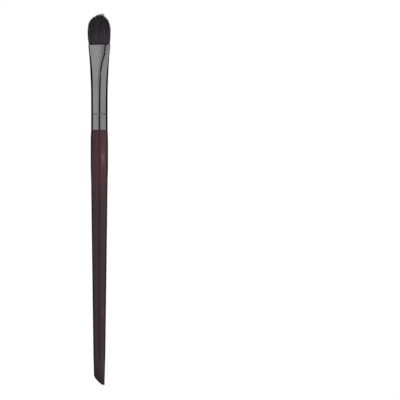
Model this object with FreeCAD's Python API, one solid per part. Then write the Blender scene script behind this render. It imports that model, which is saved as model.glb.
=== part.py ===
import FreeCAD, Part
import math
import os

from FreeCAD import Vector

# An eyeshadow brush standing upright, in millimetres. +Z runs along the brush from the slanted end of the
# handle to the tip of the tuft, +X lies across the flat head and +Y goes through its thickness. The origin
# is on the axis at the middle of the handle's belly, where the ring of a holder grips the brush.

# Handle, turned from one piece of wood: lengths run from the shoulder down to the slanted end
NECK_LENGTH = 6.6
BELLY_LENGTH = 10.0
BELLY_RADIUS = 4.11
BLEND_LENGTH = 7.4
GRIP_RADIUS = 3.92
GRIP_LENGTH = 81.0
TAIL_RADIUS = 2.86
TAIL_LENGTH = 15.0
END_RADIUS = 2.48
END_ANGLE = 45.0
END_ROUND = 0.50
SHOULDER_CHAMFER = 0.12

# Ferrule, a drawn tube: a straight barrel on the handle's shoulder, then a flare up to the flat mouth
BARREL_RADIUS = 3.92
BARREL_LENGTH = 14.0
FLARE_LENGTH = 26.0
MOUTH_WIDTH = 10.95
MOUTH_THICKNESS = 4.4
FLAT_LENGTH = 4.4
PRESS_LENGTH = 13.0
OVAL_ANGLE = 22.0
WALL = 0.28
LIP_CHAMFER = 0.08
PRESS_STEPS = 16
FLARE_STEPS = 3

# Crimp, rolled into the barrel and the tenon under it by a wheel with a sharp edge
CRIMP_HEIGHT = 7.4
CRIMP_DEPTH = 0.15
CRIMP_WIDTH = 0.60

# Tenon of the handle and the film of glue that fills the gap around it
TENON_LENGTH = 13.0
TENON_CHAMFER = 0.8
GLUE_GAP = 0.10
GLUE_SETBACK = 1.2

# Resin plug, cast in the bore round the roots of the fibres
AIR_GAP = 1.0
RESIN_LENGTH = 6.0
ROOT_COVER = 4.0

# Tie thread, wound round the bundle of fibres just above the resin
THREAD_RADIUS = 0.18
THREAD_SIDES = 4
THREAD_TURNS = 3
THREAD_PITCH = 0.85
THREAD_LIFT = 0.5
THREAD_GAP = 0.02
BORE_GAP = 0.06
PRESS_GAP = 0.05

# Fibre tuft above the mouth, a tongue with a domed tip that leans to one side
TUFT_LENGTH = 14.7
TUFT_WIDTH = 11.05
TUFT_THICKNESS = 4.7
TUFT_SWELL = 6.6
TUFT_LEAN = -0.20
TIP_LEAN = 1.2
LEAN_POWER = 8
DOME_ROUND = 2.8
DOME_POWER = 0.72
THIN_POWER = 0.62
MOUTH_GAP = 0.06
GATHER_STEPS = 12
SWELL_STEPS = 3
DOME_STEPS = 8
DOME_SWEEP = 80.0

# Heights of the datums on the axis, from the slanted end up to the mouth
SHOULDER = BELLY_LENGTH / 2 + NECK_LENGTH
HANDLE_END = SHOULDER - NECK_LENGTH - BELLY_LENGTH - BLEND_LENGTH - GRIP_LENGTH - TAIL_LENGTH
CRIMP = SHOULDER + CRIMP_HEIGHT
BARREL_TOP = SHOULDER + BARREL_LENGTH
TENON_TOP = SHOULDER + TENON_LENGTH
RESIN_BOTTOM = TENON_TOP + AIR_GAP
RESIN_TOP = RESIN_BOTTOM + RESIN_LENGTH
ROOT_END = RESIN_TOP - ROOT_COVER
THREAD_BOTTOM = RESIN_TOP + THREAD_LIFT
BUNDLE_TOP = THREAD_BOTTOM + THREAD_TURNS * THREAD_PITCH + THREAD_LIFT
MOUTH = BARREL_TOP + FLARE_LENGTH

# Radii of the barrel's bore and of the tenon in it
BORE_RADIUS = BARREL_RADIUS - WALL
TENON_RADIUS = BORE_RADIUS - GLUE_GAP

AXIS = Vector(0, 0, 1)
CENTRE = Vector(0, 0, 0)


def mix(start, end, share):
    """Value that lies the given share of the way from start to end."""
    return start + (end - start) * share


def ease(share):
    """Share of a smooth change that starts and ends level."""
    share = min(max(share, 0.0), 1.0)
    return share * share * (3 - 2 * share)


def at(radius, height):
    """Point of a turned outline, in the plane that is revolved."""
    return Vector(0, radius, height)


def lines(*points):
    """Straight edges from each point to the next."""
    return [Part.makeLine(start, end) for start, end in zip(points, points[1:])]


def arc(start, middle, end):
    """Edge of a circular arc through three points."""
    return Part.Arc(start, middle, end).toShape()


def curve(*poles):
    """Edge of a curve that leaves and arrives along its outer poles."""
    bezier = Part.BezierCurve()
    bezier.setPoles(list(poles))
    return bezier.toShape()


def turned(edges):
    """Solid of revolution about the brush's axis, from the edges of its outline."""
    outline = Part.Wire(Part.sortEdges(edges)[0])
    return Part.Face(outline).revolve(CENTRE, AXIS, 360)


def rod(radius, low, high):
    """Plain round solid on the brush's axis."""
    return Part.makeCylinder(radius, high - low, Vector(0, 0, low))


def spread_over(start, end, steps):
    """Evenly spaced values from start up to, but without, end."""
    return [mix(start, end, step / steps) for step in range(steps)]


def loft(sections):
    """Solid whose skin runs straight from each section to the next."""
    return Part.makeLoft(sections, True, True)


def oval(height, half_width, half_thickness, lean=0.0):
    """Four-centred oval: two shallow arcs for the faces and two tight ones for the sides."""
    turn = math.radians(OVAL_ANGLE)
    spread = (half_width - half_thickness) / (math.cos(turn) + math.sin(turn) - 1)
    face_radius = half_thickness + spread * math.cos(turn)
    corner_x = face_radius * math.sin(turn)
    corner_y = half_thickness - face_radius * (1 - math.cos(turn))

    def point(x, y):
        return Vector(lean + x, y, height)

    return Part.Wire([
        arc(point(-corner_x, -corner_y), point(0, -half_thickness), point(corner_x, -corner_y)),
        arc(point(corner_x, -corner_y), point(half_width, 0), point(corner_x, corner_y)),
        arc(point(corner_x, corner_y), point(0, half_thickness), point(-corner_x, corner_y)),
        arc(point(-corner_x, corner_y), point(-half_width, 0), point(-corner_x, -corner_y)),
    ])


def crimped_wall(radius, low, high):
    """Outline of a straight wall with the crimp rolled into it as a shallow V."""
    return lines(
        at(radius, low),
        at(radius, CRIMP - CRIMP_WIDTH / 2),
        at(radius - CRIMP_DEPTH, CRIMP),
        at(radius, CRIMP + CRIMP_WIDTH / 2),
        at(radius, high),
    )


def crimped_sleeve(outer, inner, low, high):
    """Turned sleeve with the crimp rolled into both of its walls."""
    return turned(
        crimped_wall(outer, low, high)
        + lines(at(outer, high), at(inner, high))
        + crimped_wall(inner, low, high)
        + lines(at(inner, low), at(outer, low))
    )


def ferrule_half_width(depth):
    """Half the ferrule's outside width: widest at the mouth, running out into the barrel."""
    flare = max(1 - depth / FLARE_LENGTH, 0.0) ** 2
    return mix(BARREL_RADIUS, MOUTH_WIDTH / 2, flare)


def ferrule_half_thickness(depth):
    """Half the ferrule's outside thickness: level in the pressed flat, a crease, then easing to the barrel."""
    press = min(max(1 - (depth - FLAT_LENGTH) / PRESS_LENGTH, 0.0), 1.0) ** 2
    return mix(BARREL_RADIUS, MOUTH_THICKNESS / 2, press)


def winding_reach():
    """Outside radius of the winding: clear of the round bore, and of the pressed bore at its top."""
    pressed = ferrule_half_thickness(MOUTH - BUNDLE_TOP) - WALL
    return min(BORE_RADIUS - BORE_GAP, pressed - PRESS_GAP)


# Radii of the thread's winding and of the fibres tied in it
WINDING_RADIUS = winding_reach() - THREAD_RADIUS
BUNDLE_RADIUS = WINDING_RADIUS - THREAD_RADIUS - THREAD_GAP


def ferrule_section(depth, inset):
    """Section of the flared tube, a given inset inside its outer skin."""
    half_width = ferrule_half_width(depth) - inset
    return oval(MOUTH - depth, half_width, ferrule_half_thickness(depth) - inset)


def flared_tube(inset, lip_inset):
    """Solid within the flared part of the tube, chamfered at the mouth to the lip's own inset."""
    press_end = FLAT_LENGTH + PRESS_LENGTH
    depths = [
        LIP_CHAMFER,
        *spread_over(FLAT_LENGTH, press_end, PRESS_STEPS),
        *spread_over(press_end, FLARE_LENGTH, FLARE_STEPS),
        FLARE_LENGTH,
    ]
    sections = [ferrule_section(depth, inset) for depth in reversed(depths)]
    return loft(sections + [ferrule_section(0, lip_inset)])


def make_ferrule():
    """Thin drawn tube: crimped barrel below, flared and pressed flat towards the mouth."""
    barrel = crimped_sleeve(BARREL_RADIUS, BORE_RADIUS, SHOULDER, BARREL_TOP)
    flare = flared_tube(0, LIP_CHAMFER).cut(flared_tube(WALL, WALL - LIP_CHAMFER))
    return flare.fuse(barrel).removeSplitter()


def tenon_outline():
    """Outline of the tenon: round its chamfered end and down past the crimp to the shoulder."""
    chamfer_foot = TENON_TOP - TENON_CHAMFER
    return (
        lines(
            at(0, TENON_TOP),
            at(TENON_RADIUS - TENON_CHAMFER, TENON_TOP),
            at(TENON_RADIUS, chamfer_foot),
        )
        + crimped_wall(TENON_RADIUS, SHOULDER, chamfer_foot)
        + lines(at(TENON_RADIUS, SHOULDER), at(BARREL_RADIUS - SHOULDER_CHAMFER, SHOULDER))
    )


def grip_outline(low):
    """Outline of the handle's outside: neck, straight belly, long taper and tail, down to a height."""
    belly_top = SHOULDER - NECK_LENGTH
    belly_end = belly_top - BELLY_LENGTH
    grip_top = belly_end - BLEND_LENGTH
    tail_top = grip_top - GRIP_LENGTH
    slope = (GRIP_RADIUS - TAIL_RADIUS) / GRIP_LENGTH
    neck = at(BARREL_RADIUS, SHOULDER - SHOULDER_CHAMFER)
    return [
        *lines(at(BARREL_RADIUS - SHOULDER_CHAMFER, SHOULDER), neck),
        curve(neck, at(BELLY_RADIUS, mix(belly_top, SHOULDER, 0.5)), at(BELLY_RADIUS, belly_top)),
        *lines(at(BELLY_RADIUS, belly_top), at(BELLY_RADIUS, belly_end)),
        curve(
            at(BELLY_RADIUS, belly_end),
            at(BELLY_RADIUS, mix(belly_end, grip_top, 1 / 3)),
            at(GRIP_RADIUS + slope * BLEND_LENGTH / 3, mix(belly_end, grip_top, 2 / 3)),
            at(GRIP_RADIUS, grip_top),
        ),
        *lines(at(GRIP_RADIUS, grip_top), at(TAIL_RADIUS, tail_top), at(END_RADIUS, low)),
    ]


def make_handle():
    """Turned handle with a tenon, sawn off at a slant and softened along the sawn edge."""
    angle = math.radians(END_ANGLE)
    low = HANDLE_END - END_ROUND * (1 / math.tan(angle / 2) - 1)
    spare = low - END_RADIUS
    blank = turned(
        lines(at(0, spare), at(0, TENON_TOP))
        + tenon_outline()
        + grip_outline(low)
        + lines(at(END_RADIUS, low), at(END_RADIUS, spare), at(0, spare))
    )
    tip = Vector(END_RADIUS, 0, low)
    along = Vector(-math.sin(angle), 0, math.cos(angle))
    outward = Vector(-math.cos(angle), 0, -math.sin(angle))
    reach = 8 * END_RADIUS
    first = tip - along * reach - Vector(0, reach / 2, 0)
    kerf = Part.Face(Part.makePolygon([
        first,
        first + along * (2 * reach),
        first + along * (2 * reach) + outward * reach,
        first + outward * reach,
        first,
    ]))
    sawn = blank.cut(kerf.extrude(Vector(0, reach, 0)))
    rim = [edge for edge in sawn.Edges if abs((edge.CenterOfMass - tip).dot(outward)) < 1e-4]
    return sawn.makeFillet(END_ROUND, rim)


def make_glue():
    """Film of glue between the tenon and the bore, keyed into the crimp."""
    return crimped_sleeve(BORE_RADIUS, TENON_RADIUS, SHOULDER, TENON_TOP - TENON_CHAMFER - GLUE_SETBACK)


def make_resin():
    """Resin plug that fills the bore and holds the roots of the fibres."""
    bore = flared_tube(WALL, WALL).fuse(rod(BORE_RADIUS, SHOULDER, BARREL_TOP))
    pour = bore.common(rod(MOUTH_WIDTH, RESIN_BOTTOM, RESIN_TOP))
    return pour.cut(rod(BUNDLE_RADIUS, ROOT_END, BUNDLE_TOP))


def bundle_section(depth):
    """Section of the fibres inside the ferrule: they fill it, then draw in to the round tied bundle."""
    share = ease((depth - FLAT_LENGTH) / (MOUTH - BUNDLE_TOP - FLAT_LENGTH))
    inset = WALL + MOUTH_GAP
    half_width = mix(ferrule_half_width(depth) - inset, BUNDLE_RADIUS, share)
    half_thickness = mix(MOUTH_THICKNESS / 2 - inset, BUNDLE_RADIUS, share)
    return oval(MOUTH - depth, half_width, min(half_thickness, ferrule_half_thickness(depth) - inset))


def swell_section(share):
    """Section of the free tuft between the mouth and its fullest height."""
    full = math.sin(share * math.pi / 2)
    return oval(
        MOUTH + TUFT_SWELL * share,
        mix(MOUTH_WIDTH / 2 - WALL - MOUTH_GAP, TUFT_WIDTH / 2, full),
        mix(MOUTH_THICKNESS / 2 - WALL - MOUTH_GAP, TUFT_THICKNESS / 2, full),
        TUFT_LEAN * full,
    )


def dome_section(share):
    """Section of the free tuft between its fullest height and the tip."""
    return oval(
        MOUTH + mix(TUFT_SWELL, TUFT_LENGTH, share),
        TUFT_WIDTH / 2 * (1 - share ** DOME_ROUND) ** DOME_POWER,
        TUFT_THICKNESS / 2 * (1 - share ** 2) ** THIN_POWER,
        mix(TUFT_LEAN, TIP_LEAN, share ** LEAN_POWER),
    )


def make_tuft():
    """Fibre tuft from its potted roots to its tip, as one closed bundle."""
    roots = rod(BUNDLE_RADIUS, ROOT_END, BUNDLE_TOP)
    depths = spread_over(MOUTH - BUNDLE_TOP, FLAT_LENGTH, GATHER_STEPS)
    gather = [bundle_section(depth) for depth in depths + [FLAT_LENGTH]]
    swell = [swell_section(share) for share in spread_over(0, 1, SWELL_STEPS)]
    turns = spread_over(0, math.radians(DOME_SWEEP), DOME_STEPS) + [math.radians(DOME_SWEEP)]
    dome = [dome_section(math.sin(turn)) for turn in turns]
    return roots.fuse(loft(gather + swell + dome)).removeSplitter()


def arc_middle(start, heading, end):
    """Middle of the arc that leaves start along heading and arrives at end."""
    chord = end - start
    aside = heading - chord * (heading.dot(chord) / chord.dot(chord))
    bend = math.atan2(aside.Length, heading.dot(chord) / chord.Length)
    return start + chord * 0.5 + aside.normalize() * (chord.Length / 2 * math.tan(bend / 2))


def winding_path():
    """Helix of quarter turns, each made of two arcs that meet in one direction."""
    lead = THREAD_PITCH / (2 * math.pi)
    pace = math.hypot(WINDING_RADIUS, lead)
    stops = []
    for step in range(4 * THREAD_TURNS + 1):
        turn = step * math.pi / 2
        across = WINDING_RADIUS * math.cos(turn)
        through = WINDING_RADIUS * math.sin(turn)
        heading = Vector(-through, across, lead) * (1 / pace)
        stops.append((Vector(across, through, THREAD_BOTTOM + lead * turn), heading))
    edges = []
    for (start, leave), (end, arrive) in zip(stops, stops[1:]):
        chord = end - start
        pull = chord.dot(leave + arrive)
        bend = 2 * (1 - leave.dot(arrive))
        reach = (math.sqrt(pull ** 2 + bend * chord.dot(chord)) - pull) / bend
        joint = (start + end + (leave - arrive) * reach) * 0.5
        edges.append(arc(start, arc_middle(start, leave, joint), joint))
        edges.append(arc(joint, arc_middle(end, arrive * -1, joint), end))
    return Part.Wire(edges)


def least_gap(path, per_turn=60):
    """Least clear gap between one turn of the thread and another, measured on points of its path."""
    points = path.discretize(Number=per_turn * THREAD_TURNS + 1)
    nearest = min(
        start.distanceToPoint(end)
        for index, start in enumerate(points)
        for end in points[index + per_turn // 2:]
    )
    return nearest - 2 * THREAD_RADIUS


def make_thread():
    """Tie thread: one unbroken strand wound round the bundle."""
    path = winding_path()
    first = path.Edges[0]
    start = first.valueAt(first.FirstParameter)
    heading = first.tangentAt(first.FirstParameter)
    outward = Vector(THREAD_RADIUS, 0, 0)
    upward = heading.cross(outward)
    turns = [2 * math.pi * side / THREAD_SIDES for side in range(THREAD_SIDES + 1)]
    strand = Part.makePolygon([
        start + outward * math.cos(turn) + upward * math.sin(turn) for turn in turns
    ])
    print("tie thread: least gap to itself %.2f mm" % least_gap(path))
    return path.makePipeShell([strand], True, False)


def main():
    """Build every piece of the brush and write one file for each."""
    os.makedirs("parts", exist_ok=True)
    pieces = {
        "handle": make_handle(),
        "tenon_glue": make_glue(),
        "ferrule": make_ferrule(),
        "resin_plug": make_resin(),
        "tie_thread": make_thread(),
        "fibre_tuft": make_tuft(),
    }
    for node, shape in pieces.items():
        solid = shape.Solids[0]
        solid.exportStep("parts/%s.step" % node)
        print("%s: %.1f cubic mm, valid %s" % (node, solid.Volume, solid.isValid()))


main()
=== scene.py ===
"""Eyeshadow brush, dressed for a plain white studio.

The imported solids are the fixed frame. Each class below makes one sub-assembly of the brush: the lacquered
wooden handle, the drawn metal ferrule, the tuft of single fibres, the tie thread, and the two fillings that
the ferrule hides. Shapes are modelled in millimetres and leave their class in metres, in the frame of the
solids.
"""

import logging
import math
import random
from dataclasses import dataclass
from enum import Enum

import bmesh
import bpy
from mathutils import Matrix, Vector
from mathutils.geometry import interpolate_bezier
from mathutils.kdtree import KDTree


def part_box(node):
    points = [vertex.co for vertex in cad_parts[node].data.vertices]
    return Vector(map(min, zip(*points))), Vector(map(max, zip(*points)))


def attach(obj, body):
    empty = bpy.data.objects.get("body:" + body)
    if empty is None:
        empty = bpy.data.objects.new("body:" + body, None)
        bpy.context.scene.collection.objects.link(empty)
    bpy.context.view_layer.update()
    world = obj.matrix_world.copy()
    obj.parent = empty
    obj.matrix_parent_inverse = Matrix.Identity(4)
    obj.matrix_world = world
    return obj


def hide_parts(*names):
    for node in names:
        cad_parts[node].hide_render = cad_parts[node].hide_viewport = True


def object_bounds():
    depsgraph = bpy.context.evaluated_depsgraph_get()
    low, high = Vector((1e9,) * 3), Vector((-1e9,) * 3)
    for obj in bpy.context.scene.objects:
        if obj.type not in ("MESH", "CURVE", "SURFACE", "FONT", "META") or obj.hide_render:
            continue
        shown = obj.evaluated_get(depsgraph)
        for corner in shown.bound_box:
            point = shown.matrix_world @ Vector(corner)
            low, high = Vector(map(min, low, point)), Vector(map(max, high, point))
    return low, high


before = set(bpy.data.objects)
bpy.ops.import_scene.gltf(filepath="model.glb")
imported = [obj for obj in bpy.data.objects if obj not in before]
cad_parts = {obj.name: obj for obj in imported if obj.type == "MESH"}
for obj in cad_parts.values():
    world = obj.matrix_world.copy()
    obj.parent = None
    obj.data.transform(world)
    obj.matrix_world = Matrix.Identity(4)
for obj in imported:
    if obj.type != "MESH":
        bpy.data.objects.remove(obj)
CAD_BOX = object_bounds()

LOG = logging.getLogger("eyeshadow_brush")
MM = 0.001
BODY = "root"
AXIS = Vector((0.0, 0.0, 1.0))

Colour = tuple[float, float, float]
Triple = tuple[float, float, float]
Ring = list[bmesh.types.BMEdge]


def mix(start: float, end: float, share: float) -> float:
    """Value that lies the given share of the way from start to end."""
    return start + (end - start) * share


def clamp(value: float, low: float = 0.0, high: float = 1.0) -> float:
    """Value held between two limits."""
    return min(max(value, low), high)


def heading(azimuth: float, elevation: float = 0.0) -> Vector:
    """Unit vector from the brush towards a compass direction.

    Args:
        azimuth: Degrees from -Y round towards +X.
        elevation: Degrees above the horizon.

    Returns:
        The direction.
    """
    turn, rise = math.radians(azimuth), math.radians(elevation)
    return Vector((math.sin(turn) * math.cos(rise), -math.cos(turn) * math.cos(rise), math.sin(rise)))


def stand(name: str, data: bpy.types.ID) -> bpy.types.Object:
    """Put a new object into the scene, at the origin.

    Args:
        name: The object's name.
        data: Its mesh, lamp or camera.

    Returns:
        The object.
    """
    made = bpy.data.objects.new(name, data)
    bpy.context.scene.collection.objects.link(made)
    return made


class Signal:
    """A number that varies over a surface: a shader socket whose arithmetic adds Math nodes."""

    def __init__(self, recipe: "Recipe", socket: bpy.types.NodeSocket) -> None:
        """Wrap one socket of a recipe's tree."""
        self.recipe = recipe
        self.socket = socket

    def math(self, operation: str, left: "Signal | float", right: "Signal | float" = 0.0) -> "Signal":
        """Add one Math node.

        Args:
            operation: Name of the node's operation.
            left: First operand.
            right: Second operand.

        Returns:
            The node's result.
        """
        node = self.recipe.add("ShaderNodeMath", {"operation": operation}, {0: left, 1: right})
        return Signal(self.recipe, node.outputs[0])

    def __add__(self, other: "Signal | float") -> "Signal":
        """Sum of this number and another."""
        return self.math("ADD", self, other)

    def __radd__(self, other: float) -> "Signal":
        """Sum of a plain number and this one."""
        return self.math("ADD", other, self)

    def __sub__(self, other: "Signal | float") -> "Signal":
        """This number less another."""
        return self.math("SUBTRACT", self, other)

    def __rsub__(self, other: float) -> "Signal":
        """A plain number less this one."""
        return self.math("SUBTRACT", other, self)

    def __mul__(self, other: "Signal | float") -> "Signal":
        """Product of this number and another."""
        return self.math("MULTIPLY", self, other)

    def __rmul__(self, other: float) -> "Signal":
        """Product of a plain number and this one."""
        return self.math("MULTIPLY", other, self)

    def __abs__(self) -> "Signal":
        """Size of this number without its sign."""
        return self.math("ABSOLUTE", self)

    def ease(self, start: float, end: float) -> "Signal":
        """Smooth step of this number, 0 at start and 1 at end.

        Args:
            start: Value that gives 0.
            end: Value that gives 1, above or below start.

        Returns:
            The step, held between 0 and 1.
        """
        low, high = min(start, end), max(start, end)
        settings = {"interpolation_type": "SMOOTHSTEP"}
        rising = {"Value": self, "From Min": low, "From Max": high}
        node = self.recipe.add("ShaderNodeMapRange", settings, rising)
        step = Signal(self.recipe, node.outputs[0])
        return step if end > start else 1.0 - step


class Recipe:
    """Node tree of one material or world, filled node by node."""

    def __init__(self, tree: bpy.types.NodeTree) -> None:
        """Start with an empty tree."""
        self.tree = tree
        self.tree.nodes.clear()

    def add(self, kind: str, settings: dict[str, object], inputs: dict[str | int, object]) -> bpy.types.Node:
        """Add a node.

        Args:
            kind: The node's type.
            settings: Properties of the node, set before its sockets.
            inputs: Values or links of its sockets, by name or number.

        Returns:
            The node.
        """
        node = self.tree.nodes.new(kind)
        for name, value in settings.items():
            setattr(node, name, value)
        for key, value in inputs.items():
            socket = node.inputs[key]
            if isinstance(value, Signal):
                value = value.socket
            if isinstance(value, bpy.types.NodeSocket):
                self.tree.links.new(value, socket)
            elif socket.type == "RGBA":
                socket.default_value = (*value[:3], 1.0)
            else:
                socket.default_value = value
        return node

    def place(self, scale: Triple, centre: Triple = (0.0, 0.0, 0.0)) -> bpy.types.NodeSocket:
        """Object coordinates, centred on a point and then scaled.

        Args:
            scale: Factor along each axis, per metre.
            centre: Point of the brush that becomes the pattern's zero, in metres.

        Returns:
            The vector socket.
        """
        shift = tuple(-middle * factor for middle, factor in zip(centre, scale))
        source = self.add("ShaderNodeTexCoord", {}, {}).outputs["Object"]
        settings = {"vector_type": "POINT"}
        inputs = {"Vector": source, "Location": shift, "Scale": scale}
        return self.add("ShaderNodeMapping", settings, inputs).outputs[0]

    def along(self, axis: str = "Z") -> Signal:
        """Object coordinate along one axis, in metres."""
        source = self.add("ShaderNodeTexCoord", {}, {}).outputs["Object"]
        return Signal(self, self.add("ShaderNodeSeparateXYZ", {}, {0: source}).outputs[axis])

    def noise(self, scale: Triple, detail: float = 2.0, rough: float = 0.5, twist: float = 0.0) -> Signal:
        """Soft noise on Object coordinates.

        Args:
            scale: Cells per metre along each axis.
            detail: Octaves of finer noise.
            rough: Strength of the finer octaves.
            twist: Distortion of the cells.

        Returns:
            The noise, about 0.5 in the mean.
        """
        inputs = {
            "Vector": self.place(scale), "Scale": 1.0,
            "Detail": detail, "Roughness": rough, "Distortion": twist,
        }
        return Signal(self, self.add("ShaderNodeTexNoise", {}, inputs).outputs[0])

    def reach(self, centre: Triple, radii: Triple) -> Signal:
        """Distance from a point of the brush, counted in radii.

        Args:
            centre: The point, in metres.
            radii: Half the size of an ellipsoid round it, in metres.

        Returns:
            The distance, 1 on the ellipsoid.
        """
        vector = self.place(tuple(1.0 / radius for radius in radii), centre)
        node = self.add("ShaderNodeVectorMath", {"operation": "LENGTH"}, {0: vector})
        return Signal(self, node.outputs["Value"])

    def attribute(self, name: str) -> Signal:
        """Number that the mesh carries under a name."""
        settings = {"attribute_type": "GEOMETRY", "attribute_name": name}
        return Signal(self, self.add("ShaderNodeAttribute", settings, {}).outputs["Fac"])

    def blend(
        self,
        share: Signal,
        first: "Colour | bpy.types.NodeSocket",
        second: "Colour | bpy.types.NodeSocket",
    ) -> bpy.types.NodeSocket:
        """Mix of two colours.

        Args:
            share: 0 gives the first colour and 1 the second.
            first: Colour at 0.
            second: Colour at 1.

        Returns:
            The colour socket.
        """
        node = self.add("ShaderNodeMix", {"data_type": "RGBA"}, {0: share, 6: first, 7: second})
        return node.outputs[2]

    def bump(self, height: Signal, strength: float, depth: float) -> bpy.types.NodeSocket:
        """Normal that follows a height.

        Args:
            height: The relief, 0 to 1.
            strength: Share of the effect.
            depth: Height of the relief in metres.

        Returns:
            The normal socket.
        """
        inputs = {"Height": height, "Strength": strength, "Distance": depth}
        return self.add("ShaderNodeBump", {}, inputs).outputs[0]

    def seen(self) -> Signal:
        """Tell sight from light.

        Returns:
            1 where the camera, a reflection or a transmission looks, and 0 for light.
        """
        path = self.add("ShaderNodeLightPath", {}, {}).outputs
        rays = [Signal(self, path[f"Is {kind} Ray"]) for kind in ("Camera", "Glossy", "Transmission")]
        return (rays[0] + rays[1] + rays[2]).ease(0.0, 1.0)

    def surface(self, inputs: dict[str | int, object]) -> None:
        """Finish the tree with one Principled surface."""
        shader = self.add("ShaderNodeBsdfPrincipled", {}, inputs)
        self.add("ShaderNodeOutputMaterial", {}, {"Surface": shader.outputs[0]})


@dataclass(frozen=True)
class Finish:
    """A finish that can be mixed into a material."""

    name: str

    def fill(self, recipe: Recipe) -> None:
        """Fill the recipe with the finish's nodes."""
        raise NotImplementedError

    def material(self) -> bpy.types.Material:
        """Make the material.

        Returns:
            A material with the finish's own node tree.
        """
        made = bpy.data.materials.new(self.name)
        made.use_nodes = True
        self.fill(Recipe(made.node_tree))
        return made


@dataclass(frozen=True)
class LacqueredWood(Finish):
    """Dark red-brown wood with long grain and open pores under a satin lacquer. Places in metres."""

    name: str = "lacquered_wood"
    red: Colour = (0.098, 0.023, 0.029)
    brown: Colour = (0.074, 0.036, 0.040)
    plum: Colour = (0.035, 0.017, 0.027)
    vein: Colour = (0.018, 0.010, 0.012)
    # Paler tint painted on the +X side as light falling there.
    lit_side_tint: Colour = (0.130, 0.080, 0.100)
    gold: Colour = (0.260, 0.185, 0.120)
    flame: Colour = (0.150, 0.032, 0.038)
    grain_cells: Triple = (1100.0, 1100.0, 17.0)
    band_cells: Triple = (210.0, 210.0, 15.0)
    pore_cells: Triple = (5200.0, 5200.0, 240.0)
    curl_cells: Triple = (620.0, 620.0, 190.0)
    drift_cells: Triple = (300.0, 300.0, 25.0)
    figure_centre: Triple = (2.9 * MM, -3.0 * MM, -1.2 * MM)
    figure_radii: Triple = (1.7 * MM, 1.7 * MM, 5.8 * MM)
    flame_centre: Triple = (2.4 * MM, -2.0 * MM, -74.2 * MM)
    flame_radii: Triple = (0.7 * MM, 0.7 * MM, 2.6 * MM)
    lit_side_start: float = -1.0 * MM
    lit_side_end: float = 3.6 * MM
    red_end: float = -4.0 * MM
    plum_start: float = -36.0 * MM
    drift: float = 30.0 * MM
    end_plane: float = -106.627 * MM
    end_soak: float = 1.1 * MM
    end_dusk: float = 11.0 * MM
    brown_share: float = 0.60
    plum_share: float = 0.90
    lit_side_share: float = 0.24
    vein_share: float = 0.50
    gold_share: float = 0.85
    flame_share: float = 0.80
    pore_share: float = 0.50
    dusk_share: float = 0.75
    soak_share: float = 0.95
    lacquer: float = 0.58
    lacquer_thinned: float = 0.50
    lacquer_soaked: float = 0.80
    lacquer_roughness: float = 0.10
    relief_depth: float = 0.03 * MM

    def fill(self, recipe: Recipe) -> None:
        """Grain and pores run along the handle, with the +X side painted paler as light falling on it, two
        figures and dark end grain.

        Args:
            recipe: Recipe that gets the nodes.
        """
        grain = recipe.noise(self.grain_cells, detail=5.0, rough=0.62, twist=0.25)
        streaks = grain.ease(0.36, 0.64)
        bands = recipe.noise(self.band_cells, detail=2.0).ease(0.36, 0.66)
        pores = recipe.noise(self.pore_cells, detail=1.0).ease(0.60, 0.72)
        curl = abs(recipe.noise(self.curl_cells, detail=2.0, twist=1.6) - 0.5).ease(0.055, 0.0)
        figure = recipe.reach(self.figure_centre, self.figure_radii).ease(1.0, 0.25) * curl
        flame = recipe.reach(self.flame_centre, self.flame_radii).ease(1.0, 0.3)
        # Painted light: the +X side is blended towards the paler tint, as if lit from there.
        paler = recipe.along("X").ease(self.lit_side_start, self.lit_side_end)
        height = recipe.along("Z")
        uneven = height + (recipe.noise(self.drift_cells, detail=2.0) - 0.5) * self.drift
        low = uneven.ease(self.red_end, self.plum_start)
        inward = height + recipe.along("X") - self.end_plane
        soaked = inward.ease(self.end_soak, 0.0)
        # The last 11 mm towards the sawn end are blended darker and get thinner lacquer.
        dusk = inward.ease(self.end_dusk, 0.0)
        colour = recipe.blend(bands * self.brown_share, self.red, self.brown)
        for share, stain in (
            (low * self.plum_share, self.plum),
            (paler * self.lit_side_share, self.lit_side_tint),
            ((1.0 - streaks) * self.vein_share, self.vein),
            (figure * self.gold_share, self.gold),
            (flame * self.flame_share, self.flame),
            (pores * self.pore_share, self.vein),
            (dusk * self.dusk_share, self.vein),
            (soaked * self.soak_share, self.vein),
        ):
            colour = recipe.blend(share, colour, stain)
        lacquer = self.lacquer * (1.0 - self.lacquer_thinned * dusk) * (1.0 - self.lacquer_soaked * soaked)
        relief = streaks * 0.4 - pores * 0.6
        recipe.surface({
            "Base Color": colour,
            "Roughness": 0.46 + 0.12 * pores - 0.06 * streaks,
            "Specular IOR Level": 0.0,
            "Coat Weight": lacquer,
            "Coat Roughness": self.lacquer_roughness,
            "Normal": recipe.bump(relief, 0.10, self.relief_depth),
        })


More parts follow.
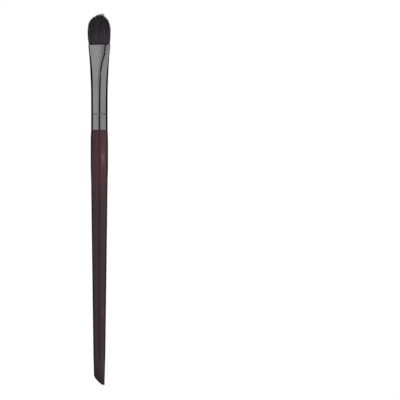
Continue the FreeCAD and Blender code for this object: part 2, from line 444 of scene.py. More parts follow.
@dataclass(frozen=True)
class DarkPlate(Finish):
    """Polished dark plating on a drawn tube, with fine lines along it and paler worn edges."""

    name: str = "dark_plate"
    deep: Colour = (0.240, 0.229, 0.239)
    pale: Colour = (0.288, 0.277, 0.286)
    worn: Colour = (0.420, 0.405, 0.400)
    # Dark colour painted into the crimp groove as shade.
    painted_crimp_shade: Colour = (0.085, 0.081, 0.084)
    line_cells: Triple = (9000.0, 9000.0, 45.0)
    smudge_cells: Triple = (230.0, 230.0, 80.0)
    rub_cells: Triple = (1500.0, 1500.0, 900.0)
    edges: tuple[float, ...] = ()
    edge_width: float = 0.35 * MM
    edge_share: float = 0.70
    crimp: float = 0.0
    crimp_width: float = 0.30 * MM
    crimp_shade_share: float = 0.90
    relief_depth: float = 0.004 * MM

    def fill(self, recipe: Recipe) -> None:
        """Drawn lines and faint smudges vary the gloss, the edges are rubbed paler, and the crimp groove is
        painted dark as shade and made rougher.

        Args:
            recipe: Recipe that gets the nodes.
        """
        lines = recipe.noise(self.line_cells, detail=3.0, rough=0.6)
        smudge = recipe.noise(self.smudge_cells, detail=3.0).ease(0.35, 0.70)
        rubbed = recipe.noise(self.rub_cells, detail=2.0).ease(0.30, 0.65)
        height = recipe.along("Z")
        wear = sum(abs(height - edge).ease(self.edge_width, 0.0) for edge in self.edges)
        groove = abs(height - self.crimp).ease(self.crimp_width, 0.3 * self.crimp_width)
        colour = recipe.blend(smudge, self.deep, self.pale)
        colour = recipe.blend(wear * rubbed * self.edge_share, colour, self.worn)
        # Painted shade: the crimp groove is blended towards the dark colour.
        colour = recipe.blend(groove * self.crimp_shade_share, colour, self.painted_crimp_shade)
        recipe.surface({
            "Base Color": colour,
            "Metallic": 1.0,
            "Roughness": 0.06 + 0.04 * lines + 0.03 * smudge + 0.08 * wear + 0.15 * groove,
            "Normal": recipe.bump(lines, 0.03, self.relief_depth),
        })


@dataclass(frozen=True)
class DarkFibre(Finish):
    """Near-black synthetic fibre with a soft sheen, each strand a little different."""

    name: str = "dark_fibre"
    black: Colour = (0.017, 0.014, 0.017)
    grey: Colour = (0.054, 0.046, 0.055)
    root: Colour = (0.100, 0.087, 0.099)
    # Dark colour painted just above the mouth as shade.
    shade: Colour = (0.008, 0.007, 0.008)
    root_height: float = 0.0
    fade: float = 10.0 * MM
    shade_height: float = 0.8 * MM
    shade_share: float = 0.90
    speckle_cells: Triple = (3000.0, 3000.0, 500.0)

    def fill(self, recipe: Recipe) -> None:
        """Strands differ in tone, and all are paler towards the ferrule and painted dark just above it as
        shade from the ferrule's mouth.

        Args:
            recipe: Recipe that gets the nodes.
        """
        tone = recipe.attribute("strand")
        height = recipe.along("Z")
        rise = height.ease(self.root_height + self.fade, self.root_height)
        # Painted shade: a thin band just above the mouth is blended towards the dark shade colour.
        painted_mouth_shade = height.ease(self.root_height + self.shade_height, self.root_height + 0.4 * self.shade_height)
        speckle = recipe.noise(self.speckle_cells, detail=2.0)
        colour = recipe.blend(tone.ease(0.25, 1.0), self.black, self.grey)
        colour = recipe.blend(rise * tone, colour, self.root)
        colour = recipe.blend(painted_mouth_shade * self.shade_share, colour, self.shade)
        recipe.surface({
            "Base Color": colour,
            "Roughness": 0.36 + 0.2 * speckle,
            "Specular IOR Level": 0.30,
        })


@dataclass(frozen=True)
class WaxedThread(Finish):
    """Pale waxed thread with faint dark fibres in its plies."""

    name: str = "waxed_thread"
    pale: Colour = (0.76, 0.72, 0.62)
    dim: Colour = (0.52, 0.46, 0.36)
    hair_cells: Triple = (9000.0, 9000.0, 9000.0)
    hair_depth: float = 0.02 * MM

    def fill(self, recipe: Recipe) -> None:
        """Fine hairs cross the plies and the wax dulls them.

        Args:
            recipe: Recipe that gets the nodes.
        """
        hairs = recipe.noise(self.hair_cells, detail=4.0, rough=0.7)
        recipe.surface({
            "Base Color": recipe.blend(hairs.ease(0.35, 0.7), self.pale, self.dim),
            "Roughness": 0.55 + 0.2 * hairs,
            "Normal": recipe.bump(hairs, 0.3, self.hair_depth),
        })


@dataclass(frozen=True)
class CastFilling(Finish):
    """Cast filling inside the ferrule: resin or glue, clouded and slightly uneven."""

    name: str
    clear: Colour
    cloudy: Colour
    roughness: float
    cloud_cells: Triple = (700.0, 700.0, 500.0)
    bubble_cells: Triple = (5000.0, 5000.0, 5000.0)
    bubble_depth: float = 0.05 * MM

    def fill(self, recipe: Recipe) -> None:
        """Clouds vary the colour and small bubbles dent the surface.

        Args:
            recipe: Recipe that gets the nodes.
        """
        clouds = recipe.noise(self.cloud_cells, detail=4.0).ease(0.3, 0.7)
        bubbles = recipe.noise(self.bubble_cells, detail=1.0).ease(0.62, 0.75)
        recipe.surface({
            "Base Color": recipe.blend(clouds, self.clear, self.cloudy),
            "Roughness": self.roughness + 0.15 * clouds,
            "Normal": recipe.bump(1.0 - bubbles, 0.25, self.bubble_depth),
        })


class Slot(Enum):
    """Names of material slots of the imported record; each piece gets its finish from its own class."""

    WOOD = "stained_wood"
    METAL = "dark_plated_metal"
    FIBRE = "dark_fibre"
    THREAD = "waxed_thread"
    RESIN = "clear_resin"
    GLUE = "wood_glue"


def hand_over(piece: bpy.types.Object, node: str, slot: Slot, finish: Finish) -> None:
    """Dress a new piece and let it stand for its solid.

    Args:
        piece: The finished object.
        node: Name of the solid that it stands for.
        slot: Material slot of the record; not used.
        finish: Finish that the piece gets.
    """
    piece.data.materials.clear()
    piece.data.materials.append(finish.material())
    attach(piece, BODY)
    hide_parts(node)
    LOG.info("%s: %d faces, %s", piece.name, len(piece.data.polygons), finish.name)


class Workpiece:
    """A mesh in millimetres that becomes one smooth object of the brush."""

    same_point: float = 1e-4

    def __init__(self, name: str) -> None:
        """Start with an empty mesh."""
        self.name = name
        self.bm = bmesh.new()

    def chain(self, points: list[Vector]) -> None:
        """Join points with edges, as the outline of a turned piece.

        Args:
            points: Points of the outline in order.
        """
        verts = [self.bm.verts.new(point) for point in points]
        for start, end in zip(verts, verts[1:]):
            self.bm.edges.new((start, end))

    def turn(self, steps: int) -> None:
        """Spin the outline once round the axis.

        Args:
            steps: Facets round the piece.
        """
        geom = self.bm.verts[:] + self.bm.edges[:]
        bmesh.ops.spin(
            self.bm, geom=geom, cent=(0, 0, 0), axis=AXIS, dvec=(0, 0, 0),
            angle=math.tau, steps=steps, use_merge=True, use_duplicate=False,
        )
        bmesh.ops.remove_doubles(self.bm, verts=self.bm.verts, dist=self.same_point)
        bmesh.ops.recalc_face_normals(self.bm, faces=self.bm.faces)

    def first_ring(self, sides: int) -> Ring:
        """Start a tube from a circle of unit radius at height zero."""
        bmesh.ops.create_circle(self.bm, cap_ends=False, radius=1.0, segments=sides)
        return self.bm.edges[:]

    def next_ring(self, edges: Ring, scale: Triple, rise: float) -> Ring:
        """Grow a tube by one ring.

        Args:
            edges: The last ring.
            scale: Factor from the last ring to the new one along each axis.
            rise: Height of the new ring above the last one.

        Returns:
            The new ring.
        """
        grown = bmesh.ops.extrude_edge_only(self.bm, edges=edges)["geom"]
        verts = [part for part in grown if isinstance(part, bmesh.types.BMVert)]
        flat = Matrix.Translation((0.0, 0.0, -verts[0].co.z))
        bmesh.ops.scale(self.bm, vec=scale, space=flat, verts=verts)
        bmesh.ops.translate(self.bm, vec=(0.0, 0.0, rise), verts=verts)
        return [part for part in grown if isinstance(part, bmesh.types.BMEdge) and part.is_boundary]

    def finish(self, crease: float) -> bpy.types.Object:
        """Scale to metres and make the object.

        Args:
            crease: Angle in degrees above which an edge stays sharp.

        Returns:
            The object, at the origin.
        """
        bmesh.ops.scale(self.bm, vec=(MM, MM, MM), verts=self.bm.verts)
        mesh = bpy.data.meshes.new(self.name)
        self.bm.to_mesh(mesh)
        self.bm.free()
        mesh.shade_smooth()
        mesh.set_sharp_from_angle(angle=math.radians(crease))
        return stand(self.name, mesh)


class Strands:
    """Round strands along courses in millimetres, which become one smooth object of the brush."""

    def __init__(self, name: str, radius: float, resolution: int) -> None:
        """Start without a strand.

        Args:
            name: The object's name.
            radius: Radius of a strand of size 1, in mm.
            resolution: Extra points in the strand's round section.
        """
        self.name = name
        self.curve = bpy.data.curves.new(f"{name}_courses", "CURVE")
        self.curve.dimensions = "3D"
        self.curve.bevel_depth = radius * MM
        self.curve.bevel_resolution = resolution
        self.curve.use_fill_caps = True

    def add(self, course: list[Vector], sizes: list[float]) -> None:
        """Add one strand.

        Args:
            course: Points along it.
            sizes: Its relative thickness at each point.
        """
        spline = self.curve.splines.new("POLY")
        spline.points.add(len(course) - 1)
        for knot, point, size in zip(spline.points, course, sizes):
            knot.co = (*(point * MM), 1.0)
            knot.radius = size

    def finish(self) -> bpy.types.Object:
        """Turn the strands into one mesh.

        Returns:
            The object, at the origin.
        """
        source = bpy.data.objects.new(self.curve.name, self.curve)
        mesh = bpy.data.meshes.new_from_object(source)
        bpy.data.objects.remove(source)
        bpy.data.curves.remove(self.curve)
        mesh.name = self.name
        mesh.shade_smooth()
        return stand(self.name, mesh)


@dataclass
class Ferrule:
    """Drawn metal tube: a crimped barrel below, flared and pressed flat towards the mouth. Sizes in mm."""

    shoulder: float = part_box("ferrule")[0].z / MM
    mouth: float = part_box("ferrule")[1].z / MM
    barrel_radius: float = 3.92
    flare_length: float = 26.0
    mouth_width: float = 10.95
    mouth_thickness: float = 4.4
    flat_length: float = 4.4
    press_length: float = 13.0
    wall: float = 0.28
    crimp_height: float = 7.4
    crimp_depth: float = 0.15
    crimp_width: float = 0.60
    crease_round: float = 0.35
    rim_chamfer: float = 0.06
    lip_steps: int = 8
    ring_gap: float = 0.8
    fine_rings: int = 6
    sides: int = 144
    sharp_angle: float = 38.0

    def half_width(self, height: float) -> float:
        """Half the outside width at a height."""
        flare = clamp(1 - (self.mouth - height) / self.flare_length) ** 2
        return mix(self.barrel_radius, self.mouth_width / 2, flare)

    def half_thickness(self, height: float) -> float:
        """Half the outside thickness at a height, with the crease below the flat softened.

        Args:
            height: Height on the axis.

        Returns:
            Half the thickness.
        """
        below = self.mouth - self.flat_length - height
        soft = 0.5 * (below + math.hypot(below, self.crease_round))
        return mix(self.barrel_radius, self.mouth_thickness / 2, clamp(1 - soft / self.press_length) ** 2)

    def groove(self, height: float) -> float:
        """Depth of the crimp at a height: a rounded V."""
        away = abs(height - self.shoulder - self.crimp_height) / (self.crimp_width / 2)
        return self.crimp_depth * math.cos(clamp(away) * math.pi / 2) ** 2

    def heights(self) -> list[float]:
        """Heights of the rings, closer together at the crimp and at the crease.

        Returns:
            Heights from just above the lower rim to just below the lip.
        """
        low, high = self.shoulder + self.rim_chamfer, self.mouth - self.wall / 2
        count = round((high - low) / self.ring_gap)
        even = [mix(low, high, step / count) for step in range(count + 1)]
        fine = [step / self.fine_rings for step in range(-self.fine_rings, self.fine_rings + 1)]
        crimp = self.shoulder + self.crimp_height
        crease = self.mouth - self.flat_length
        close = [crimp + self.crimp_width / 2 * share for share in fine]
        close += [crease + 2 * self.crease_round * share for share in fine]
        clear = self.ring_gap / 3
        apart = [height for height in even if all(abs(height - other) > clear for other in close)]
        return sorted(apart + close)

    def rings(self) -> list[Triple]:
        """Half-width, half-thickness and height of each ring.

        Returns:
            Rings up the outside, over the lip and down the inside.
        """
        def ring(height: float, inset: float) -> Triple:
            """Ring at a height, a given inset inside the outer skin."""
            sunk = inset + self.groove(height)
            return (self.half_width(height) - sunk, self.half_thickness(height) - sunk, height)

        heights = self.heights()
        lip = []
        for step in range(1, self.lip_steps):
            turn = math.pi * step / self.lip_steps
            inset = self.wall / 2 * (1 - math.cos(turn))
            side, face, height = ring(heights[-1], inset)
            lip.append((side, face, height + self.wall / 2 * math.sin(turn)))
        outside = [ring(self.shoulder, self.rim_chamfer), *(ring(height, 0.0) for height in heights)]
        inside = [ring(height, self.wall) for height in reversed([self.shoulder, *heights])]
        return outside + lip + inside

    def build(self) -> bpy.types.Object:
        """Model the tube as one closed wall.

        Returns:
            The finished object.
        """
        work = Workpiece("drawn_ferrule")
        side, face, height = 1.0, 1.0, 0.0
        edges = start = work.first_ring(self.sides)
        for index, (next_side, next_face, next_height) in enumerate(self.rings()):
            scale = (next_side / side, next_face / face, 1.0)
            if index == 0:
                bmesh.ops.scale(work.bm, vec=scale, verts=work.bm.verts)
                bmesh.ops.translate(work.bm, vec=(0.0, 0.0, next_height), verts=work.bm.verts)
            else:
                edges = work.next_ring(edges, scale, next_height - height)
            side, face, height = next_side, next_face, next_height
        bmesh.ops.bridge_loops(work.bm, edges=start + edges)
        bmesh.ops.recalc_face_normals(work.bm, faces=work.bm.faces)
        return work.finish(crease=self.sharp_angle)

    def dress(self, piece: bpy.types.Object) -> None:
        """Plate the tube, rubbed at its lip and lower rim.

        Args:
            piece: The tube.
        """
        crimp = self.shoulder + self.crimp_height
        finish = DarkPlate(edges=(self.mouth * MM, self.shoulder * MM), crimp=crimp * MM)
        hand_over(piece, "ferrule", Slot.METAL, finish)


@dataclass
class Handle:
    """Turned wooden handle with a tenon, a straight belly, a long taper and a slanted end. Sizes in mm."""

    shoulder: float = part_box("ferrule")[0].z / MM
    tenon_top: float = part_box("handle")[1].z / MM
    end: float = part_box("handle")[0].z / MM
    tenon_radius: float = 3.54
    tenon_chamfer: float = 0.8
    shoulder_radius: float = 3.92
    shoulder_round: float = 0.12
    neck_length: float = 6.6
    belly_radius: float = 4.11
    belly_length: float = 10.0
    blend_length: float = 7.4
    grip_radius: float = 3.92
    grip_length: float = 81.0
    tail_radius: float = 2.86
    end_radius: float = 2.48
    end_angle: float = 45.0
    end_round: float = 0.5
    steps: int = 112
    rows: int = 14
    round_steps: int = 6
    saw_tolerance: float = 1e-5
    sharp_angle: float = 40.0

    def point(self, radius: float, height: float) -> Vector:
        """Point of the outline that is turned."""
        return Vector((radius, 0.0, height))

    def outline(self, low: float) -> list[Vector]:
        """Outline from the tenon's end down to below the slanted cut.

        Args:
            low: Height at which the blank ends.

        Returns:
            Points of the outline, with the curves sampled.
        """
        point = self.point
        belly_top = self.shoulder - self.neck_length
        belly_end = belly_top - self.belly_length
        grip_top = belly_end - self.blend_length
        tail_top = grip_top - self.grip_length
        slope = (self.grip_radius - self.tail_radius) / self.grip_length
        rim = self.shoulder_round
        tenon = [
            point(0.0, self.tenon_top),
            point(self.tenon_radius - self.tenon_chamfer, self.tenon_top),
            point(self.tenon_radius, self.tenon_top - self.tenon_chamfer),
            point(self.tenon_radius, self.shoulder),
            point(self.shoulder_radius - rim, self.shoulder),
        ]
        neck_top = point(self.shoulder_radius, self.shoulder - rim)
        neck_pole = point(self.belly_radius, (self.shoulder + belly_top) / 2)
        neck_end = point(self.belly_radius, belly_top)
        neck = interpolate_bezier(
            neck_top, neck_top.lerp(neck_pole, 2 / 3), neck_end.lerp(neck_pole, 2 / 3), neck_end,
            self.rows,
        )
        blend = interpolate_bezier(
            point(self.belly_radius, belly_end),
            point(self.belly_radius, mix(belly_end, grip_top, 1 / 3)),
            point(self.grip_radius + slope * self.blend_length / 3, mix(belly_end, grip_top, 2 / 3)),
            point(self.grip_radius, grip_top),
            self.rows,
        )
        shares = [row / self.rows for row in range(1, self.rows + 1)]
        grip = [
            point(mix(self.grip_radius, self.tail_radius, share), mix(grip_top, tail_top, share))
            for share in shares
        ]
        fall = (self.tail_radius - self.end_radius) / (tail_top - self.tip)
        blank_end = self.tail_radius - fall * (tail_top - low)
        return tenon + neck + blend + grip + [point(blank_end, low), point(0.0, low)]

    def build(self) -> bpy.types.Object:
        """Turn the handle, saw its end off at a slant and soften the sawn edge.

        Returns:
            The finished object.
        """
        work = Workpiece("turned_handle")
        angle = math.radians(self.end_angle)
        plane = Vector((-math.cos(angle), 0.0, -math.sin(angle)))
        work.chain(self.outline(self.tip - 2 * self.end_radius))
        work.turn(self.steps)
        weight = work.bm.edges.layers.float.new("bevel_weight_edge")
        blank = work.bm.verts[:] + work.bm.edges[:] + work.bm.faces[:]
        bmesh.ops.bisect_plane(
            work.bm, geom=blank, dist=self.saw_tolerance,
            plane_co=self.point(self.end_radius, self.tip), plane_no=plane, clear_outer=True,
        )
        rim = [edge for edge in work.bm.edges if edge.is_boundary]
        bmesh.ops.edgeloop_fill(work.bm, edges=rim)
        bmesh.ops.recalc_face_normals(work.bm, faces=work.bm.faces)
        reach = [self.end_round * math.tan(edge.calc_face_angle() / 2) for edge in rim]
        for edge, length in zip(rim, reach):
            edge[weight] = length / max(reach)
        piece = work.finish(crease=self.sharp_angle)
        soften = piece.modifiers.new("sawn_edge", "BEVEL")
        soften.limit_method = "WEIGHT"
        soften.offset_type = "OFFSET"
        soften.width = max(reach) * MM
        soften.segments = self.round_steps
        soften.profile = 0.5
        soften.use_clamp_overlap = True
        return piece

    @property
    def tip(self) -> float:
        """Height at which the slanted cut meets the handle's side, before its edge is rounded."""
        half = math.radians(self.end_angle) / 2
        return self.end - self.end_round * (1 / math.tan(half) - 1)

    def dress(self, piece: bpy.types.Object) -> None:
        """Stain and lacquer the handle."""
        hand_over(piece, "handle", Slot.WOOD, LacqueredWood())


@dataclass
class Clump:
    """Fibres whose tips cling together: place in the unit disc, reach and splay of the tips in mm, tone."""

    middle: Vector
    reach: float
    splay: Vector
    tone: float


@dataclass
class Tuft:
    """Tuft of single fibres, tongue-shaped, with a ragged tip that leans to one side. Sizes in mm."""

    mouth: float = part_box("ferrule")[1].z / MM
    length: float = 14.7
    mouth_width: float = 10.20
    mouth_thickness: float = 3.65
    width: float = 11.20
    thickness: float = 4.7
    swell: float = 6.6
    lean: float = -0.15
    tip_lean: float = 1.2
    lean_power: float = 8.0
    dome_round: float = 2.8
    dome_power: float = 0.72
    thin_power: float = 0.62
    root_depth: float = 3.0
    strands: int = 2600
    strand_radius: float = 0.055
    strand_spread: float = 0.45
    thinnest: float = 0.80
    thickest: float = 1.15
    points: int = 10
    taper_start: float = 0.55
    taper_power: float = 1.5
    tip_size: float = 0.25
    wave: float = 0.05
    clumps: int = 320
    clump_spread: float = 0.50
    clump_pull: float = 0.80
    clump_power: int = 3
    clump_reach: float = 0.36
    clump_splay: float = 0.16
    own_tone: float = 0.45
    gather: float = 0.22
    ragged: float = 0.15
    short: float = 0.68
    longest: float = 1.00
    layer: float = 0.16
    layer_least: float = 0.20
    stray_share: float = 0.008
    stray_reach: float = 0.80
    seed: int = 31

    def spiral(self, count: int, spread: float, draw: random.Random) -> list[Vector]:
        """Evenly spaced points in the unit disc, each moved a little.

        Args:
            count: Number of points.
            spread: Random move, in the mean gap between points.
            draw: Source of the random moves.

        Returns:
            The points.
        """
        golden = math.pi * (3 - math.sqrt(5))
        gap = math.sqrt(math.pi / count)
        points = []
        for index in range(count):
            radius, turn = math.sqrt((index + 0.5) / count), index * golden
            move = Vector((draw.uniform(-1, 1), draw.uniform(-1, 1), 0.0)) * (gap * spread)
            point = Vector((radius * math.cos(turn), radius * math.sin(turn), 0.0)) + move
            points.append(point / max(point.length, 1.0))
        return points

    def dome_end(self, aside: float) -> float:
        """Share of the dome's height at which a strand leaves the tongue's outline.

        Args:
            aside: The strand's place across the tuft, 0 in the middle and 1 at the side.

        Returns:
            Share from 0 at the fullest height to 1 at the tip.
        """
        low, high, halvings = 0.0, 1.0, 24
        for _ in range(halvings):
            share = (low + high) / 2
            outline = (1 - share ** self.dome_round) ** self.dome_power
            inside = aside * (1 - self.gather * share ** 2) < outline
            low, high = (share, high) if inside else (low, share)
        return low

    def place(self, spot: Vector, height: float) -> Vector:
        """Where a strand runs at a height above the mouth.

        Args:
            spot: The strand's place in the unit disc.
            height: Height above the mouth, below zero inside the ferrule.

        Returns:
            The point, in the frame of the brush.
        """
        full = math.sin(clamp(height / self.swell) * math.pi / 2)
        dome = clamp((height - self.swell) / (self.length - self.swell))
        half_width = mix(self.mouth_width, self.width, full) / 2 * (1 - self.gather * dome ** 2)
        half_thickness = mix(self.mouth_thickness, self.thickness, full) / 2
        half_thickness *= max(1 - dome ** 2, 0.0) ** self.thin_power
        lean = mix(self.lean * full, self.tip_lean, dome ** self.lean_power)
        return Vector((lean + spot.x * half_width, spot.y * half_thickness, self.mouth + height))

    def clump(self, middle: Vector, draw: random.Random) -> Clump:
        """One clump, most of them short and a few long.

        Args:
            middle: The clump's place in the unit disc.
            draw: Source of its reach, splay and tone.

        Returns:
            The clump.
        """
        reach = min(draw.expovariate(1 / self.clump_reach), self.longest) - self.short
        splay = Vector((draw.gauss(0, self.clump_splay), draw.gauss(0, self.clump_splay), 0.0))
        return Clump(middle, reach, splay, draw.random())

    def strand(self, spot: Vector, clump: Clump, draw: random.Random) -> list[Vector]:
        """Course of one fibre.

        Args:
            spot: The strand's place in the unit disc.
            clump: Clump that its tip clings to.
            draw: Source of the random lengths and waves.

        Returns:
            Points from the root to the tip.
        """
        layer = self.layer * spot.y ** 2 * draw.uniform(self.layer_least, 1.0)
        end = self.dome_end(abs(spot.x)) * (1 - layer)
        height = mix(self.swell, self.length, end) + clump.reach - draw.expovariate(1 / self.ragged)
        stray = draw.random() < self.stray_share
        wave = Vector((draw.gauss(0, self.wave), draw.gauss(0, self.wave), 0.0))
        out = spot * self.stray_reach if stray else clump.splay
        points = []
        for step in range(self.points):
            share = step / (self.points - 1)
            here = mix(-self.root_depth, height, share)
            free = clamp(here / height)
            bent = free ** self.clump_power
            pulled = spot.lerp(clump.middle, self.clump_pull * bent)
            points.append(self.place(pulled, here) + wave * math.sin(free * math.pi) + out * bent)
        return points

    def taper(self) -> list[float]:
        """Relative thickness at each point of a strand.

        Returns:
            1 up to the start of the taper, then falling towards the tip.
        """
        shares = [step / (self.points - 1) for step in range(self.points)]
        drawn = [clamp((share - self.taper_start) / (1 - self.taper_start)) for share in shares]
        return [mix(1.0, self.tip_size, share ** self.taper_power) for share in drawn]

    def build(self) -> bpy.types.Object:
        """Model every fibre as a tapered strand.

        Returns:
            The finished object, with one tone for each strand.
        """
        draw = random.Random(self.seed)
        middles = self.spiral(self.clumps, self.clump_spread, draw)
        clumps = [self.clump(middle, draw) for middle in middles]
        tree = KDTree(len(clumps))
        for index, clump in enumerate(clumps):
            tree.insert(clump.middle, index)
        tree.balance()
        taper, tones = self.taper(), []
        work = Strands("fibre_strands", self.strand_radius, resolution=0)
        for spot in self.spiral(self.strands, self.strand_spread, draw):
            clump = clumps[tree.find(spot)[1]]
            course = self.strand(spot, clump, draw)
            tones.append(mix(clump.tone, draw.random(), self.own_tone))
            size = draw.uniform(self.thinnest, self.thickest)
            work.add(course, [size * share for share in taper])
        piece = work.finish()
        corners = len(piece.data.vertices) // self.strands
        tone = piece.data.attributes.new("strand", "FLOAT", "POINT")
        tone.data.foreach_set("value", [value for value in tones for _ in range(corners)])
        return piece

    def dress(self, piece: bpy.types.Object) -> None:
        """Dye the fibres."""
        hand_over(piece, "fibre_tuft", Slot.FIBRE, DarkFibre(root_height=self.mouth * MM))


@dataclass
class TieThread:
    """Two-ply thread wound round the roots of the tuft, hidden in the ferrule. Sizes in mm."""

    bottom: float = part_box("tie_thread")[0].z / MM
    top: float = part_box("tie_thread")[1].z / MM
    winding_radius: float = 3.40
    radius: float = 0.18
    turns: int = 3
    twists: int = 40
    points: int = 480

    def ply(self, phase: float) -> list[Vector]:
        """Course of one ply.

        Args:
            phase: Its place round the thread, in radians.

        Returns:
            Points along the ply.
        """
        course = []
        for step in range(self.points + 1):
            share = step / self.points
            turn, twist = math.tau * self.turns * share, math.tau * self.twists * share + phase
            radius = self.winding_radius + self.radius / 2 * math.cos(twist)
            height = mix(self.bottom + self.radius, self.top - self.radius, share)
            height += self.radius / 2 * math.sin(twist)
            course.append(Vector((radius * math.cos(turn), radius * math.sin(turn), height)))
        return course

    def build(self) -> bpy.types.Object:
        """Model both plies as round strands.

        Returns:
            The finished object.
        """
        work = Strands("wound_thread", self.radius / 2, resolution=2)
        for phase in (0.0, math.pi):
            course = self.ply(phase)
            work.add(course, [1.0] * len(course))
        return work.finish()

    def dress(self, piece: bpy.types.Object) -> None:
        """Wax the thread."""
        hand_over(piece, "tie_thread", Slot.THREAD, WaxedThread())


@dataclass
class Fillings:
    """Resin plug and film of glue: solids of the frame that the ferrule hides, with a finish of their own."""

    resin: CastFilling = CastFilling(
        "cast_resin", clear=(0.62, 0.46, 0.22), cloudy=(0.74, 0.60, 0.36), roughness=0.12,
    )
    glue: CastFilling = CastFilling(
        "dried_glue", clear=(0.80, 0.72, 0.52), cloudy=(0.66, 0.56, 0.36), roughness=0.40,
    )

    def dress(self) -> None:
        """Give both solids their finish."""
        for node, finish in (("resin_plug", self.resin), ("tenon_glue", self.glue)):
            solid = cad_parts[node]
            solid.data.materials.clear()
            solid.data.materials.append(finish.material())
            LOG.info("%s: solid of the frame, %s", node, finish.name)


@dataclass(frozen=True)
class PaleFloor(Finish):
    """White paper floor that fades out into the white backdrop."""

    name: str = "pale_floor"
    paper: Colour = (0.46, 0.46, 0.46)
    speck: Colour = (0.44, 0.44, 0.44)
    lift: float = 0.76
    clear_from: float = 0.05
    clear_to: float = 0.16
    fleck_cells: Triple = (400.0, 400.0, 400.0)
    fade_radii: Triple = (1.0, 1.0, 1000.0)

    def fill(self, recipe: Recipe) -> None:
        """Paper near the brush, lifted to the backdrop's white where it is seen, and nothing further out.

        Args:
            recipe: Recipe that gets the nodes.
        """
        flecks = recipe.noise(self.fleck_cells, detail=3.0)
        colour = recipe.blend(flecks, self.paper, self.speck)
        paper = recipe.add("ShaderNodeBsdfDiffuse", {}, {"Color": colour})
        glow = recipe.add("ShaderNodeEmission", {}, {"Strength": self.lift * recipe.seen()})
        lit = recipe.add("ShaderNodeAddShader", {}, {0: paper.outputs[0], 1: glow.outputs[0]})
        clear = recipe.add("ShaderNodeBsdfTransparent", {}, {})
        away = recipe.reach((0.0, 0.0, 0.0), self.fade_radii).ease(self.clear_from, self.clear_to)
        both = recipe.add("ShaderNodeMixShader", {}, {0: away, 1: lit.outputs[0], 2: clear.outputs[0]})
        recipe.add("ShaderNodeOutputMaterial", {}, {"Surface": both.outputs[0]})


class Shade(Enum):
    """Brightness of a card as the brush reflects it."""

    BLACK = 0.0
    DIM = 0.62
    SOFT = 0.84
    PALE = 0.88


@dataclass(frozen=True)
class CardFace(Finish):
    """Even face of a card that shapes the reflections."""

    name: str
    shade: Shade

    def fill(self, recipe: Recipe) -> None:
        """One even brightness, whatever light falls on it.

        Args:
            recipe: Recipe that gets the nodes.
        """
        face = recipe.add("ShaderNodeEmission", {}, {"Strength": self.shade.value})
        recipe.add("ShaderNodeOutputMaterial", {}, {"Surface": face.outputs[0]})


@dataclass(frozen=True)
class Card:
    """Upright card that shapes the reflections, given by its left and right edge at some heights.

    Angles are in degrees from the camera, distance and heights in metres.
    """

    name: str
    shade: Shade
    distance: float
    edges: tuple[Triple, ...]

    def corners(self, facing: float) -> list[Vector]:
        """Corners of the card, up its left edge and down its right one.

        Args:
            facing: Azimuth of the camera as the brush sees it.

        Returns:
            The corners in order.
        """
        left = [heading(facing + start) * self.distance + AXIS * height for start, _, height in self.edges]
        right = [heading(facing + end) * self.distance + AXIS * height for _, end, height in self.edges]
        return left + right[::-1]


@dataclass(frozen=True)
class Lamp:
    """Soft lamp, given by its angle in degrees from the camera and its power in watts."""

    name: str
    aside: float
    power: float


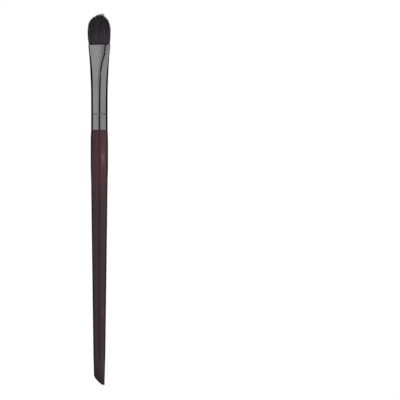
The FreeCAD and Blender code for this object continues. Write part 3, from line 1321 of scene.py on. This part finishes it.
@dataclass
class Studio:
    """White surround, soft lamps, cards for the reflections and the camera of the photograph."""

    view_azimuth: float = 15.0
    lens: float = 200.0
    sensor: float = 36.0
    clip: tuple[float, float] = (0.05, 20.0)
    frame_width: float = 0.1884
    aside: float = 0.0474
    aim_height: float = -0.0214
    ambient: float = 0.10
    cards: tuple[Card, ...] = (
        Card("card_camera", Shade.BLACK, 0.10, (
            (-8.5, 8.5, -0.14), (-8.5, 8.5, 0.010), (-6.5, 10.5, 0.020), (-1.9, 15.1, 0.039),
            (-1.9, 15.1, 0.047), (-1.3, 6.5, 0.0505), (-1.3, 6.5, 0.0575), (-2.0, 13.5, 0.0592),
            (-1.6, 11.4, 0.074), (0.2, 10.2, 0.093), (2.6, 10.6, 0.113), (2.6, 10.6, 0.2),
        )),
        Card("card_dim", Shade.DIM, 1.40, ((-17.0, 17.0, -0.7), (-17.0, 17.0, 1.6))),
        Card("card_soft", Shade.SOFT, 1.56, ((-27.0, 27.0, -0.7), (-27.0, 27.0, 1.6))),
        Card("card_left", Shade.BLACK, 0.60, (
            (-162.0, -101.0, -0.9), (-162.0, -101.0, -0.13), (-162.0, -110.0, -0.075),
            (-162.0, -116.0, 0.0), (-162.0, -116.0, 0.012), (-162.0, -100.0, 0.019), (-162.0, -100.0, 0.9),
        )),
        Card("card_right", Shade.BLACK, 0.60, ((102.0, 162.0, -0.9), (102.0, 162.0, 0.9))),
        Card("card_pale", Shade.PALE, 2.20, ((8.0, 105.0, -2.4), (8.0, 105.0, 2.4))),
    )
    lamps: tuple[Lamp, ...] = (
        Lamp("lamp_left", -8.0, 2.5), Lamp("lamp_right", 26.0, 4.8), Lamp("lamp_back", 180.0, 4.6),
    )
    lamp_distance: float = 0.9
    lamp_rise: float = 25.0
    lamp_size: tuple[float, float] = (0.6, 0.9)
    floor_half: float = 0.4

    @property
    def distance(self) -> float:
        """Distance of the camera that fits the frame's width."""
        return self.frame_width * self.lens / self.sensor

    @property
    def facing(self) -> float:
        """Azimuth at which the brush itself sees the camera."""
        return self.view_azimuth + math.degrees(math.atan2(self.aside, self.distance))

    def camera(self) -> None:
        """Place the camera beside the brush's axis, looking level."""
        data = bpy.data.cameras.new("photo_camera")
        data.lens = self.lens
        data.sensor_width = self.sensor
        data.clip_start, data.clip_end = self.clip
        eye = stand("photo_camera", data)
        back = heading(self.view_azimuth)
        right = heading(self.view_azimuth + 90.0)
        aim = right * self.aside + AXIS * self.aim_height
        eye.location = aim + back * self.distance
        eye.rotation_euler = (-back).to_track_quat("-Z", "Y").to_euler()
        bpy.context.scene.camera = eye

    def sheet(self, name: str, corners: list[Vector], finish: Finish) -> bpy.types.Object:
        """Flat sheet of the studio, not part of the brush.

        Args:
            name: The object's name.
            corners: Its corners in order.
            finish: Its finish.

        Returns:
            The object.
        """
        bm = bmesh.new()
        bm.faces.new([bm.verts.new(corner) for corner in corners])
        mesh = bpy.data.meshes.new(name)
        bm.to_mesh(mesh)
        bm.free()
        mesh.materials.append(finish.material())
        sheet = stand(name, mesh)
        return sheet

    def hang_cards(self) -> None:
        """Hang the cards round the brush, unseen by the camera."""
        for card in self.cards:
            sheet = self.sheet(card.name, card.corners(self.facing), CardFace(card.name, card.shade))
            sheet.visible_camera = False
            sheet.visible_diffuse = False
            sheet.visible_shadow = False
            sheet.visible_transmission = False

    def lay_floor(self) -> None:
        """Lay the floor under the brush's lowest point."""
        low, half = CAD_BOX[0].z, self.floor_half
        corners = [Vector((x * half, y * half, low)) for x, y in ((-1, -1), (1, -1), (1, 1), (-1, 1))]
        self.sheet("floor", corners, PaleFloor())

    def hang_lamps(self) -> None:
        """Hang one soft lamp on each side of the camera and one behind the brush."""
        for lamp in self.lamps:
            data = bpy.data.lights.new(lamp.name, "AREA")
            data.shape = "RECTANGLE"
            data.size, data.size_y = self.lamp_size
            data.energy = lamp.power
            hung = stand(lamp.name, data)
            away = heading(self.facing + lamp.aside, self.lamp_rise)
            hung.location = away * self.lamp_distance
            hung.rotation_euler = away.to_track_quat("Z", "Y").to_euler()
            hung.visible_camera = False
            hung.visible_glossy = False

    def surround(self) -> None:
        """White world, at full white for the camera and for reflections and dimmer as light."""
        world = bpy.data.worlds.new("white_surround")
        world.use_nodes = True
        recipe = Recipe(world.node_tree)
        strength = self.ambient + (1.0 - self.ambient) * recipe.seen()
        light = recipe.add("ShaderNodeBackground", {}, {"Color": (1.0, 1.0, 1.0), "Strength": strength})
        recipe.add("ShaderNodeOutputWorld", {}, {"Surface": light.outputs[0]})
        world.cycles.sampling_method = "NONE"
        bpy.context.scene.world = world

    def build(self) -> None:
        """Set up the whole studio."""
        bpy.context.scene.view_settings.view_transform = "Standard"
        self.surround()
        self.lay_floor()
        self.hang_cards()
        self.hang_lamps()
        self.camera()


def main() -> None:
    """Build the brush piece by piece, then the studio round it."""
    logging.basicConfig(level=logging.INFO, format="%(message)s")
    for part in (Handle(), Ferrule(), Tuft(), TieThread()):
        part.dress(part.build())
    Fillings().dress()
    Studio().build()


if __name__ == "__main__":
    main()
